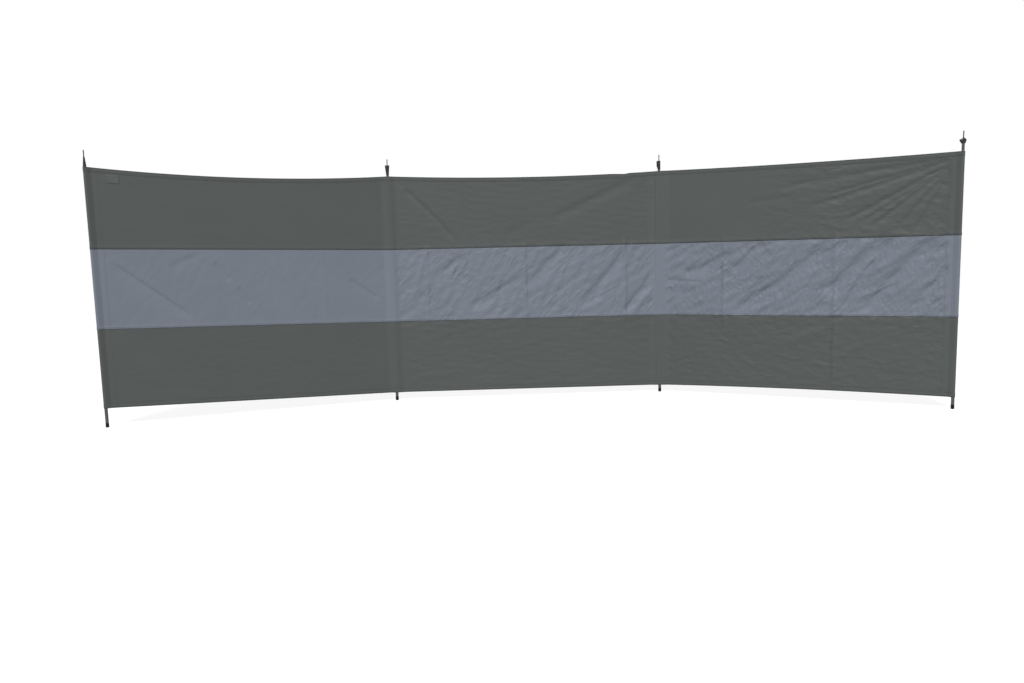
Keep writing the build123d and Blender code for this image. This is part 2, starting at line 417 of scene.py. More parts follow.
def smooth(value):
    """A smooth step from 0 to 1 while value goes from 0 to 1."""
    t = np.clip(value, 0.0, 1.0)
    return t * t * (3.0 - 2.0 * t)


# Share of a fold's length over which each of its ends fades, and share of a sharp crease's width
# over which its crest is rounded
FOLD_FADE = 0.16
CREST_ROUNDING = 0.12


class Fold:
    """A fold or crease between two places on a bay, as (distance, height) pairs.

    Its upper flank is as wide as its width, and its lower one is wider by its spread.
    """

    def __init__(self, start, end, width, depth, bend=0.0, spread=1.7, sharp=False):
        self.start = np.array(start, float)
        self.end = np.array(end, float)
        self.width = width
        self.depth = depth
        self.sharp = sharp
        self.bend = bend
        self.spread = spread

    def relief(self, at, height):
        """How far the fold stands out at places on its bay."""
        run = self.end - self.start
        length = np.linalg.norm(run)
        ahead = run / length
        x = at - self.start[0]
        y = height - self.start[1]
        part = (x * ahead[0] + y * ahead[1]) / length
        off = -x * ahead[1] + y * ahead[0]
        off = off - self.bend * 4.0 * part * (1.0 - part)
        ends = smooth(part / FOLD_FADE) * smooth((1.0 - part) / FOLD_FADE)
        if self.sharp:
            shape = 1.0 - np.sqrt(off**2 + (self.width * CREST_ROUNDING) ** 2) / self.width
            return self.depth * ends * np.clip(shape, 0.0, 1.0)
        if ahead[0] < 0.0:
            off = -off
        width = np.where(off > 0.0, self.width, self.width * self.spread)
        return self.depth * ends * np.exp(-((off / width) ** 2))


def upright_creases(*rows):
    """Sharp upright creases, from rows of distance, lower end, upper end, width and depth."""
    return tuple(
        Fold((at, low), (at, high), width, depth, sharp=True) for at, low, high, width, depth in rows
    )


# Creases from folding the cloth for its bag, where it was pressed flat, one in every 0.65 m
PRESSED = {
    0: upright_creases((0.66, 0.5, 0.92, 0.016, 0.0001), (1.31, 0.42, 0.98, 0.016, 0.0004)),
    1: upright_creases(
        (0.228, 0.42, 0.98, 0.018, 0.0024),
        (0.863, 0.4, 1.0, 0.018, 0.0034),
        (1.515, 0.4, 1.0, 0.016, 0.003),
        (1.545, 0.42, 0.98, 0.012, -0.0012),
    ),
    2: upright_creases((0.42, 0.36, 1.0, 0.02, 0.0021), (1.085, 0.0, 1.03, 0.02, 0.0023)),
}


def soft_folds(*rows):
    """Soft folds, from rows of distance and height at each end, width and depth.

    A row may end in a bend, or in a bend and a spread.
    """
    return tuple(Fold(row[:2], row[2:4], *row[4:]) for row in rows)


# Tension folds: long soft ones that run from lower left to upper right, and single thin creases
TENSION = {
    0: soft_folds(
        (0.08, 0.87, 0.53, 0.52, 0.0085, -0.0026, 0.0, 4.0),
        (0.13, 0.78, 0.35, 0.6, 0.012, -0.0008), (0.66, 0.86, 0.75, 0.74, 0.011, -0.0016),
        (0.79, 0.71, 0.86, 0.6, 0.01, -0.0018),
        (1.46, 0.755, 1.66, 0.615, 0.009, -0.0019, 0.0, 3.0), (0.4, 0.82, 0.57, 0.9, 0.02, -0.0012),
    ),
    1: soft_folds(
        (0.08, 1.34, 0.43, 0.97, 0.011, -0.0024, 0.012), (1.02, 1.1, 1.6, 1.36, 0.022, -0.0022),
        (0.11, 0.58, 0.23, 0.92, 0.012, 0.0016), (0.26, 0.72, 0.45, 0.88, 0.02, -0.0018),
        (0.33, 0.7, 0.44, 0.86, 0.01, 0.0012), (0.48, 0.55, 0.86, 0.77, 0.022, -0.0042, -0.02),
        (0.85, 0.66, 1.13, 0.94, 0.024, -0.0046), (0.87, 0.86, 1.0, 0.93, 0.014, 0.0014),
        (1.18, 0.52, 1.53, 0.92, 0.026, -0.005, -0.02), (1.14, 0.46, 1.3, 0.68, 0.02, 0.002),
        (1.5, 0.48, 1.76, 0.82, 0.018, -0.004), (1.54, 0.46, 1.74, 0.7, 0.013, 0.0026),
        (0.68, 0.46, 0.84, 0.58, 0.016, 0.0014), (0.82, 0.62, 0.92, 0.52, 0.012, 0.001),
        (0.72, 1.0, 0.9, 1.08, 0.03, -0.0012), (0.12, 0.1, 0.42, 0.13, 0.016, 0.001),
    ),
    2: soft_folds(
        (0.14, 0.74, 0.46, 0.89, 0.02, -0.004, -0.03), (0.46, 0.74, 0.66, 0.94, 0.02, -0.004),
        (0.46, 0.48, 1.08, 0.93, 0.026, -0.0056, -0.015), (0.9, 0.6, 1.08, 0.9, 0.014, -0.0016),
        (1.02, 0.58, 1.38, 0.95, 0.028, -0.006, 0.012),
        (1.12, 0.48, 1.42, 0.95, 0.017, -0.0042, 0.02),
        (1.22, 0.46, 1.64, 0.94, 0.028, -0.006, 0.012), (1.46, 0.46, 1.72, 0.78, 0.018, -0.003),
        (0.02, 0.7, 0.3, 0.68, 0.008, -0.001), (0.02, 0.9, 0.14, 0.94, 0.012, 0.0012),
        (0.1, 0.5, 0.28, 0.6, 0.02, 0.0014), (1.72, 1.36, 0.9, 1.12, 0.012, -0.0022),
        (1.72, 1.365, 1.0, 1.19, 0.01, -0.0019), (1.72, 1.35, 1.1, 1.02, 0.012, -0.0025),
        (1.72, 1.345, 1.18, 1.0, 0.01, -0.0018), (1.71, 1.34, 1.26, 0.98, 0.011, -0.0023),
        (1.7, 1.33, 1.4, 0.96, 0.01, -0.0018), (1.71, 1.33, 1.5, 0.94, 0.011, -0.0023),
        (1.72, 1.32, 1.62, 0.94, 0.009, -0.0018), (1.72, 1.37, 0.7, 1.25, 0.012, -0.0016),
        (0.55, 1.17, 0.86, 1.2, 0.014, -0.0011), (0.8, 0.3, 1.06, 0.4, 0.02, 0.0016),
        (1.04, 0.36, 1.08, 0.46, 0.01, 0.0014), (1.12, 0.22, 1.24, 0.3, 0.014, 0.0014),
    ),
}

# Ripple heights at mid-bay in the bottom, middle and top bands, for each bay
RIPPLE_HEIGHTS = ((0.0002, 0.0002, 0.0001), (0.0004, 0.0015, 0.0003), (0.0005, 0.0023, 0.0005))

# Share of fine crinkles in the bottom, middle and top bands, for each bay
CRINKLE_SHARES = ((0.12, 0.18, 0.08), (0.25, 0.9, 0.12), (0.45, 1.25, 0.5))

# Ripple fields: the left bay's seed, the shortest and longest wave, and the lean in degrees
SLANTING = (11, (0.05, 0.16), -48)
CROSSING = (31, (0.035, 0.09), 20)
LEVEL = (51, (0.03, 0.09), 88)
WAVE_COUNT = 36
WAVE_SCATTER = 0.45

# How steep and how deep the gathered ripples are, and the shares of the slanting ones and of the
# gathered crossing ones in the middle band
GATHER_SLOPE = 0.9
GATHER_DEPTH = 1.6
SLANTING_SHARE = 0.7
CROSSING_SHARE = 0.5

# Height over which the ripples of one band pass into those of the next
BAND_BLEND = 0.06

# The right bay's top band is smooth beside pole 3: where its ripples start, and how far they grow
CALM_REACH = 0.3
CALM_FADE = 0.9

# How deep a bay hangs back in its middle
BILLOW = 0.0025

# Flat cloth beside a pole, and the length over which the relief grows from there
POLE_CLEAR = 0.027
POLE_FADE = 0.045

# Flat cloth at the two edges, the heights over which the relief grows, and its share at the edges
EDGE_CLEAR = 0.01
EDGE_FADES = (0.05, 0.06)
EDGE_SHARE = 0.25

# From an end pole and from an inner pole to the first fine crinkles, and how far they grow
CRINKLE_STARTS = {"end": 0.04, "inner": 0.012}
CRINKLE_FADE = 0.045


def ripples(kind, bay, at, height):
    """A smooth even ripple field of about unit height, from waves of seeded directions."""
    seed, wave_lengths, lean = kind
    draws = np.random.RandomState(seed + bay)
    total = np.zeros_like(at)
    for _ in range(WAVE_COUNT):
        wave = math.exp(draws.uniform(math.log(wave_lengths[0]), math.log(wave_lengths[1])))
        angle = math.radians(lean) + draws.normal(0.0, WAVE_SCATTER)
        phase = draws.uniform(0.0, math.tau)
        reach = math.tau / wave
        total += np.sin(reach * (at * math.cos(angle) + height * math.sin(angle)) + phase)
    return total / math.sqrt(WAVE_COUNT / 2)


def gathered(field):
    """Sharpen a ripple field, so that its crests are thin and its troughs are flat."""
    return 1.0 - np.abs(np.tanh(field * GATHER_SLOPE)) * GATHER_DEPTH


def folds_relief(cloth, bay, at, height):
    """How far a bay's creases and folds stand out, with the strongest one where they cross."""
    pressed_in = np.zeros_like(at)
    raised = np.zeros_like(at)
    for fold in PRESSED[bay] + TENSION[bay]:
        drawn = fold.relief(at, height)
        pressed_in = np.minimum(pressed_in, drawn)
        raised = np.maximum(raised, drawn)
    return (pressed_in + raised) * cloth.fold_strengths[bay]


def ripples_relief(cloth, bay, at, height):
    """How far a bay's ripples stand out: slanting ones in its middle band, level rows elsewhere."""
    third = cloth.height / len(BAND_NAMES)
    lower = smooth((height - third) / BAND_BLEND + 0.5)
    upper = smooth((height - 2 * third) / BAND_BLEND + 0.5)
    in_middle = lower * (1 - upper)
    bottom, middle, top = RIPPLE_HEIGHTS[bay]
    strength = bottom * (1 - lower) + middle * lower * (1 - upper) + top * upper
    if bay == 2:
        strength = strength * (1.0 - upper * (1.0 - smooth((at - CALM_REACH) / CALM_FADE)))
    slanting = ripples(SLANTING, bay, at, height)
    crossing = gathered(ripples(CROSSING, bay, at, height))
    rows = ripples(LEVEL, bay, at, height)
    middle_field = SLANTING_SHARE * slanting + CROSSING_SHARE * crossing
    return strength * (in_middle * middle_field + (1 - in_middle) * rows)


def cloth_relief(cloth, bay, at, height):
    """How far the cloth stands out to the front at places on a bay."""
    relief = folds_relief(cloth, bay, at, height) + ripples_relief(cloth, bay, at, height)
    hang = np.sin(math.pi * np.clip(at / BAY_LENGTH, 0, 1))
    hang = hang * np.sin(math.pi * np.clip(height / cloth.height, 0, 1))
    relief -= BILLOW * hang
    ends = smooth((at - POLE_CLEAR) / POLE_FADE)
    ends = ends * smooth((BAY_LENGTH - POLE_CLEAR - at) / POLE_FADE)
    edges = smooth((height - EDGE_CLEAR) / EDGE_FADES[0])
    edges = edges * smooth((cloth.height - EDGE_CLEAR - height) / EDGE_FADES[1])
    return relief * ends * (EDGE_SHARE + (1.0 - EDGE_SHARE) * edges)


def crinkle_share(bay, band, at):
    """How crinkled a band is at distances along its bay: less near its poles."""
    first_start = CRINKLE_STARTS["end" if bay == 0 else "inner"]
    last_start = CRINKLE_STARTS["end" if bay == 2 else "inner"]
    near = np.minimum(at - first_start, BAY_LENGTH - last_start - at)
    share = CRINKLE_SHARES[bay][band] * smooth(near / CRINKLE_FADE)
    if bay == 2 and BAND_NAMES[band] == "top_band":
        share = share * smooth((at - CALM_REACH) / CALM_FADE)
    return share


# Half the width of the closer mesh at a pressed crease, its spacing, and how far the closer mesh
# of a sleeve goes past it
CREASE_REACH = 0.022
CREASE_STEP = 0.0042
SLEEVE_OVERLAP = 0.004


def even_step(step):
    """A rule that spaces a sheet's columns evenly."""
    return lambda places: np.full(len(places), step)


def bay_columns(cloth, bay, step):
    """The mesh columns of a bay's cloth, close together at sleeves and pressed creases."""
    creases = [fold.start[0] for fold in PRESSED[bay]]
    reaches = (cloth.end_sleeve_reach, *cloth.sleeve_rises, cloth.end_sleeve_reach)

    def step_at(places):
        at = bay_distance(bay, places)
        steps = np.full(len(at), step)
        for crease in creases:
            steps[np.abs(at - crease) < CREASE_REACH] = min(step, CREASE_STEP)
        near_first = at < reaches[bay] + SLEEVE_OVERLAP
        near_last = at > BAY_LENGTH - reaches[bay + 1] - SLEEVE_OVERLAP
        steps[near_first | near_last] = cloth.sleeve_step
        return steps

    return Columns(bay_line(cloth, bay), step_at)


def new_object(name, data):
    """Link a mesh, a lamp or a camera as a new object at the origin."""
    made = bpy.data.objects.new(name, data)
    bpy.context.scene.collection.objects.link(made)
    return made


def grid_mesh(name, columns, rows, size=1.0):
    """A flat grid mesh; its columns run along X and its rows along Y."""
    shape = bmesh.new()
    bmesh.ops.create_grid(shape, x_segments=columns - 1, y_segments=rows - 1, size=size)
    mesh = bpy.data.meshes.new(name)
    shape.to_mesh(mesh)
    shape.free()
    return mesh


def close_loop(mesh):
    """Join a wrapped grid's two long edges, close its ends and turn its faces outwards."""
    shape = bmesh.new()
    shape.from_mesh(mesh)
    bmesh.ops.remove_doubles(shape, verts=shape.verts, dist=0.00002)
    open_edges = [edge for edge in shape.edges if edge.is_boundary]
    bmesh.ops.holes_fill(shape, edges=open_edges, sides=0)
    bmesh.ops.recalc_face_normals(shape, faces=shape.faces)
    shape.to_mesh(mesh)
    shape.free()


class Sheet:
    """A cloth mesh in the making: a grid on columns, and where each of its vertices stands."""

    def __init__(self, name, columns, row_count):
        self.mesh = grid_mesh(name, len(columns.along), row_count)
        corners = np.zeros(len(self.mesh.vertices) * 3, np.float32)
        self.mesh.vertices.foreach_get("co", corners)
        unit = (corners.reshape(-1, 3) + 1.0) / 2.0
        self.column = np.rint(unit[:, 0] * (len(columns.along) - 1)).astype(int)
        self.row = np.rint(unit[:, 1] * (row_count - 1)).astype(int)
        self.up = self.row / (row_count - 1)
        self.along = columns.along[self.column]
        self.places = columns.places[self.column]
        self.outward = columns.outward[self.column]

    def relief(self, cloth, bay, height):
        """How far its vertices stand out from their line at heights above the ground."""
        on_cloth = height - edge_height(cloth, self.places, 0.0)
        relief = cloth_relief(cloth, bay, bay_distance(bay, self.places), on_cloth)
        return relief * np.sign(self.outward @ to_front(bay_along(bay)))

    def shape(self, relief, height, from_edge, **values):
        """Place its vertices, lay its UV map flat in metres, and store values for its material."""
        spots = np.column_stack((self.places + self.outward * relief[:, None], height))
        self.mesh.vertices.foreach_set("co", spots.astype(np.float32).ravel())
        self.mesh.update()
        corners = np.zeros(len(self.mesh.loops), np.int32)
        self.mesh.loops.foreach_get("vertex_index", corners)
        flat = np.stack((self.along[corners], from_edge[corners]), 1)
        layer = self.mesh.uv_layers.new(name="UVMap")
        layer.data.foreach_set("uv", flat.astype(np.float32).ravel())
        for name, value in values.items():
            attribute = self.mesh.attributes.new(name, "FLOAT", "POINT")
            attribute.data.foreach_set("value", value.astype(np.float32))

    def piece(self, material, thickness=0.0):
        """Its object, shaded smooth, with its finish and, if it is one layer, its thickness."""
        self.mesh.polygons.foreach_set("use_smooth", np.ones(len(self.mesh.polygons), bool))
        self.mesh.materials.append(material)
        made = new_object(self.mesh.name, self.mesh)
        if thickness > 0.0:
            solid = made.modifiers.new("thickness", "SOLIDIFY")
            solid.thickness = thickness
            solid.offset = 0.0
            solid.use_even_offset = False
        return made


def sewn_place(cloth, pole, bay):
    """The plan place where a pole's sleeve is sewn on one of its bays."""
    reach = cloth.middle_sleeve_reach if pole in INNER_POLES else cloth.end_sleeve_reach
    away = bay_along(bay) if bay == pole else -bay_along(bay)
    return POLE_AXES[pole] + away * reach


def sewn_distance(cloth, places):
    """Plan distance from each place to the nearest line where a sleeve is sewn."""
    sewn = [sewn_place(cloth, pole, bay) for bay in range(len(BAY_NAMES)) for pole in (bay, bay + 1)]
    return np.min([np.linalg.norm(places - spot, axis=1) for spot in sewn], axis=0)


def attach(piece, bay):
    """Parent the middle bay's cloth to the root body, and bake the other bays' cloth into place."""
    if bay == 1:
        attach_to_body(piece, ROOT_BODY)
        return
    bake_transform(piece)


# Height over which a band comes back into line above its lap
LAP_FADE = 0.012


def make_band(cloth, bay, band, material):
    """One band of one bay as a thin sheet with its folds, and its flat size."""
    step = cloth.light_step if BAND_NAMES[band] == "middle_band" else cloth.dark_step
    columns = bay_columns(cloth, bay, step)
    low, high = band_edges(cloth, columns.places, band)
    tall = float(np.max(high - low))
    name = f"{BAY_NAMES[bay]}_{BAND_NAMES[band]}_cloth"
    sheet = Sheet(name, columns, int(tall / step) + 1)
    lowest = low[sheet.column]
    height = lowest + (high - low)[sheet.column] * sheet.up
    from_low = height - lowest
    relief = sheet.relief(cloth, bay, height)
    if band > 0:
        relief += cloth.lap_offset * (1.0 - smooth((from_low - cloth.lap_height) / LAP_FADE))
    sheet.shape(
        relief, height, from_low,
        sewn_distance=sewn_distance(cloth, sheet.places),
        crinkled=crinkle_share(bay, band, bay_distance(bay, sheet.places)),
    )
    piece = sheet.piece(material, cloth.thickness)
    attach(piece, bay)
    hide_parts(f"{BAY_NAMES[bay]}_{BAND_NAMES[band]}")
    return piece, (columns.length, tall)


# The hem's section: distance from the cloth's edge, and half the hem's thickness there
HEM_SECTION = (
    (0.0, 0.0), (0.0006, 0.0008), (0.002, 0.0012), (0.006, 0.0014), (0.013, 0.0014),
    (0.0195, 0.0011), (0.0222, 0.0007), (0.0248, 0.0009), (0.0266, 0.0007), (0.028, 0.0006),
)


def make_hem(cloth, bay, is_top, material):
    """One hem of one bay: the cloth's edge turned over and sewn, as a closed flat loop."""
    loop = [*reversed(HEM_SECTION), *((inset, -half) for inset, half in HEM_SECTION[1:])]
    loop.append(loop[0])
    insets, depths = np.array(loop).T
    place_word = "top" if is_top else "bottom"
    name = f"{BAY_NAMES[bay]}_{place_word}_hem_cloth"
    sheet = Sheet(name, bay_columns(cloth, bay, cloth.dark_step), len(loop))
    inset = insets[sheet.row]
    if is_top:
        height = upper_edge(cloth, sheet.places) - inset
    else:
        height = lower_edge(cloth, sheet.places) + inset
    relief = sheet.relief(cloth, bay, height) + depths[sheet.row]
    sheet.shape(relief, height, inset, sewn_distance=sewn_distance(cloth, sheet.places))
    close_loop(sheet.mesh)
    piece = sheet.piece(material)
    attach(piece, bay)
    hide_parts(f"{BAY_NAMES[bay]}_{place_word}_hem")
    return piece


# Points across a sleeve strip's sewn margin, and the height of one row of its mesh
MARGIN_POINTS = 5
STRIP_ROW = 0.01


def make_back_strip(cloth, pole, material):
    """The strip sewn behind an inner pole that makes its sleeve, and its flat size."""
    centre = POLE_AXES[pole]
    sewn = cloth.middle_sleeve_reach
    margin = np.linspace(sewn + cloth.sewn_margin, sewn, MARGIN_POINTS)
    first = beside_pole(cloth, pole - 1, pole, margin, cloth.layer_gap)
    second = beside_pole(cloth, pole, pole, margin[::-1], cloth.layer_gap)
    facing = -(to_front(bay_along(pole - 1)) + to_front(bay_along(pole)))
    start = touching_angle(centre, first[-1], cloth.sleeve_radius, facing)
    end = touching_angle(centre, second[0], cloth.sleeve_radius, facing)
    arc = arc_points(centre, cloth.sleeve_radius, start, end, facing)
    points = np.concatenate((first, arc, second))[::-1]
    columns = Columns(points, even_step(cloth.sleeve_step))
    sheet = Sheet(f"pole_{pole + 1}_sleeve_cloth", columns, int(cloth.height / STRIP_ROW))
    low = lower_edge(cloth, sheet.places)
    height = low + (upper_edge(cloth, sheet.places) - low) * sheet.up
    flat = np.zeros(len(height))
    sheet.shape(flat, height, height - low, sewn_distance=sewn_distance(cloth, sheet.places))
    piece = sheet.piece(material, cloth.thickness)
    bay = 0 if pole == 1 else 2
    attach(piece, bay)
    flat_margin = f"{BAY_NAMES[bay]}_margin"
    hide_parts(f"pole_{pole + 1}_sleeve", flat_margin)
    return piece, (columns.length, cloth.height)


# The corner patch: its size, how far under the hem it is, its seam's inset, and its mesh
PATCH_WIDTH = 0.068
PATCH_HEIGHT = 0.05
PATCH_DROP = 0.003
PATCH_SEAM = 0.003
PATCH_STEP = 0.004
PATCH_ROWS = 13


def make_patch(cloth, material):
    """The plain patch on the left bay's top band, in the middle of its place in the frame."""
    low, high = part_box("left_bay_corner_patch")
    along = bay_along(0)
    start, end = ((plan(corner) - POLE_AXES[0]) @ along for corner in (low, high))
    middle = (start + end) / 2
    half = PATCH_WIDTH / 2
    sides = np.stack([POLE_AXES[0] + along * place for place in (middle - half, middle + half)])
    columns = Columns(sides, even_step(PATCH_STEP))
    sheet = Sheet("left_bay_corner_patch_cloth", columns, PATCH_ROWS)
    from_low = PATCH_HEIGHT * sheet.up
    from_top = PATCH_HEIGHT * (1 - sheet.up)
    height = upper_edge(cloth, sheet.places) - cloth.hem_height - PATCH_DROP - from_top
    from_side = np.minimum(sheet.along, PATCH_WIDTH - sheet.along)
    inside = np.minimum(from_side, np.minimum(from_low, from_top))
    relief = sheet.relief(cloth, 0, height) + cloth.thickness
    sheet.shape(relief, height, from_low, sewn_distance=np.abs(inside - PATCH_SEAM))
    return sheet.piece(material, cloth.thickness)


# Node groups by the function that makes them, and cloth materials by name
GROUPS = {}
MATERIALS = {}


class Nodes:
    """Places shader nodes in a tree and joins them."""

    def __init__(self, tree):
        self.tree = tree
        tree.nodes.clear()

    def add(self, kind, inputs=None, **settings):
        """Add a node with its settings, and join or set its inputs by name or number."""
        node = self.tree.nodes.new(kind)
        for name, value in settings.items():
            setattr(node, name, value)
        for name, value in (inputs or {}).items():
            self.join(value, node.inputs[name])
        return node

    def join(self, value, target):
        """Link another node's output to an input, or set the input to a plain value."""
        if isinstance(value, bpy.types.NodeSocket):
            self.tree.links.new(value, target)
        else:
            target.default_value = value

    def math(self, operation, *values):
        """The result of a sum on up to three values."""
        return self.add("ShaderNodeMath", dict(enumerate(values)), operation=operation).outputs[0]

    def noise(self, place, scale, detail, roughness=0.5):
        """A soft noise field at a place."""
        inputs = {"Vector": place, "Scale": scale, "Detail": detail, "Roughness": roughness}
        return self.add("ShaderNodeTexNoise", inputs).outputs["Fac"]

    def mix(self, factor, first, second):
        """Two colours mixed by a factor."""
        node = self.add("ShaderNodeMix", {0: factor}, data_type="RGBA", clamp_factor=True)
        for value, target in ((first, node.inputs[6]), (second, node.inputs[7])):
            self.join(value if isinstance(value, bpy.types.NodeSocket) else (*value, 1.0), target)
        return node.outputs[2]

    def attribute(self, name):
        """A value that a mesh stores for each vertex."""
        return self.add("ShaderNodeAttribute", attribute_name=name).outputs["Fac"]

    def group(self, maker, **inputs):
        """The outputs of a shared node group, which is made when it is first wanted."""
        if maker not in GROUPS:
            GROUPS[maker] = maker()
        sockets = {name.capitalize(): value for name, value in inputs.items()}
        return self.add("ShaderNodeGroup", sockets, node_tree=GROUPS[maker]).outputs

    def surface(self, bump, looks):
        """End a material in a Principled BSDF with a bump's and its own inputs."""
        normal = self.add("ShaderNodeBump", bump).outputs["Normal"]
        shader = self.add("ShaderNodeBsdfPrincipled", {"Normal": normal, **looks})
        self.add("ShaderNodeOutputMaterial", {"Surface": shader.outputs["BSDF"]})


def new_group(name, inputs, outputs):
    """An empty node group with number sockets; an input with no default is a vector."""
    group = bpy.data.node_groups.new(name, "ShaderNodeTree")
    for socket_name, default in inputs.items():
        kind = "NodeSocketVector" if default is None else "NodeSocketFloat"
        made = group.interface.new_socket(name=socket_name, in_out="INPUT", socket_type=kind)
        if default is not None:
            made.default_value = default
    for socket_name in outputs:
        group.interface.new_socket(name=socket_name, in_out="OUTPUT", socket_type="NodeSocketFloat")
    nodes = Nodes(group)
    return group, nodes, nodes.add("NodeGroupInput").outputs, nodes.add("NodeGroupOutput").inputs


def weave_group():
    """Plain weave: threads that pass over and under each other, as a height."""
    group, nodes, given, result = new_group(
        "Plain weave", {"Place": None, "Threads": 700.0}, ("Height",)
    )
    split = nodes.add("ShaderNodeSeparateXYZ", {"Vector": given["Place"]}).outputs
    reach = nodes.math("MULTIPLY", given["Threads"], math.pi)
    across = nodes.math("SINE", nodes.math("MULTIPLY", split["X"], reach))
    up = nodes.math("SINE", nodes.math("MULTIPLY", split["Y"], reach))
    product = nodes.math("MULTIPLY", across, up)
    nodes.join(nodes.math("MULTIPLY_ADD", product, 0.5, 0.5), result["Height"])
    return group


# Crinkles: scale and share of each layer, sharpness, and how much longer than wide they are; scale,
# contrast, and least and most share of the places where they crowd; and the scale of their shade
CRINKLE_LAYERS = ((15.0, 0.55), (36.0, 0.3))
CRINKLE_SHARPNESS = 0.8
CRINKLE_STRETCH = 2.4
CROWDING_SCALE = 5.0
CROWDING_CONTRAST = (3.4, -1.1)
CROWDING_RANGE = (0.15, 1.2)
SHADE_SCALE = 3.0


def crinkle_group():
    """Fine crinkles of coated cloth that has been packed small, as a height and a shade."""
    inputs = {"Place": None, "Lean": 0.0, "Amount": 1.0}
    group, nodes, given, result = new_group("Packed crinkles", inputs, ("Height", "Shade"))
    turn = nodes.add("ShaderNodeCombineXYZ", {"Z": given["Lean"]}).outputs["Vector"]
    stretch = {"Vector": given["Place"], "Rotation": turn, "Scale": (CRINKLE_STRETCH, 1.0, 1.0)}
    drawn = nodes.add("ShaderNodeMapping", stretch, vector_type="TEXTURE").outputs["Vector"]
    layers = []
    for scale, share in CRINKLE_LAYERS:
        field = nodes.noise(drawn, scale, 1.0)
        crest = nodes.math("ABSOLUTE", nodes.math("MULTIPLY_ADD", field, 2.0, -1.0))
        sharp = nodes.math("POWER", crest, CRINKLE_SHARPNESS)
        layers.append(nodes.math("MULTIPLY", sharp, -share))
    height = nodes.math("ADD", *layers)
    field = nodes.noise(given["Place"], CROWDING_SCALE, 2.0)
    crowded = nodes.math("MULTIPLY_ADD", field, *CROWDING_CONTRAST)
    crowded = nodes.math("MAXIMUM", crowded, CROWDING_RANGE[0])
    raised = nodes.math("MULTIPLY", height, nodes.math("MINIMUM", crowded, CROWDING_RANGE[1]))
    nodes.join(nodes.math("MULTIPLY", raised, given["Amount"]), result["Height"])
    nodes.join(nodes.noise(given["Place"], SHADE_SCALE, 4.0, 0.6), result["Shade"])
    return group


# Stitches: half the thread's width, half the pitch, the stitch's share of it and the groove's width
HALF_THREAD = 0.0005
HALF_PITCH = 0.0022
STITCH_LENGTH = 0.0015
GROOVE_WIDTH = 0.0025


def stitch_group():
    """A row of stitches at one distance from an edge, as masks: the thread and its groove."""
    inputs = {"Run": 0.0, "Distance": 0.0, "Row": 0.01}
    group, nodes, given, result = new_group("Stitch row", inputs, ("Mask", "Groove"))
    off = nodes.math("ABSOLUTE", nodes.math("SUBTRACT", given["Distance"], given["Row"]))
    on_row = nodes.math("LESS_THAN", off, HALF_THREAD)
    dash = nodes.math("LESS_THAN", nodes.math("PINGPONG", given["Run"], HALF_PITCH), STITCH_LENGTH)
    nodes.join(nodes.math("MULTIPLY", on_row, dash), result["Mask"])
    beyond = nodes.math("MINIMUM", nodes.math("DIVIDE", off, GROOVE_WIDTH), 1.0)
    nodes.join(nodes.math("SUBTRACT", 1.0, beyond), result["Groove"])
    return group


# Noise level above which a scuff shows, and how fast it grows from there
SCUFF_LEVEL = 0.52
SCUFF_GAIN = 4.0


def scuff_group():
    """Light scuffs and dust for hard parts, as a mask."""
    group, nodes, given, result = new_group("Scuffs", {"Place": None, "Scale": 40.0}, ("Mask",))
    broad = nodes.noise(given["Place"], given["Scale"], 6.0, 0.65)
    lifted = nodes.math("SUBTRACT", broad, SCUFF_LEVEL)
    nodes.join(nodes.math("MULTIPLY", lifted, SCUFF_GAIN), result["Mask"])
    return group


def new_material(name):
    """An empty material and its nodes."""
    material = bpy.data.materials.new(name)
    material.use_nodes = True
    return material, Nodes(material.node_tree)


def toned(colour, share):
    """A colour made darker or paler by a share."""
    return tuple(min(1.0, part * share) for part in colour)


# Threads to the metre, and the heights of the cloth's crinkles, threads, grooves and stitches
THREADS = 900.0
CRINKLE_BUMP = 0.014
WEAVE_BUMP = 0.00004
GROOVE_BUMP = -0.0003
STITCH_BUMP = 0.0004

# The stitches beside a sleeve's sewn line: their distance from it, and how much their thread and their
# groove show; the groove carries a bump and painted shade
SIDE_ROW = 0.0015
SIDE_MASK = 0.3
SIDE_GROOVE = 0.35


# Darkest and palest tone of the cloth's shade, the tone and share of a hem's dark edge, the tone and
# share of the painted shade in and beside a stitch's groove, the share of the thread's colour, and what
# the shade adds to the roughness and its least value
SHADE_TONES = (0.91, 1.1)
EDGE_TONE, EDGE_MIX = 0.3, 0.4
GROOVE_SHADE_TONE, GROOVE_SHADE_MIX = 0.5, 0.25
THREAD_MIX = 0.8
CLOTH_ROUGHNESS = (0.12, 0.5)


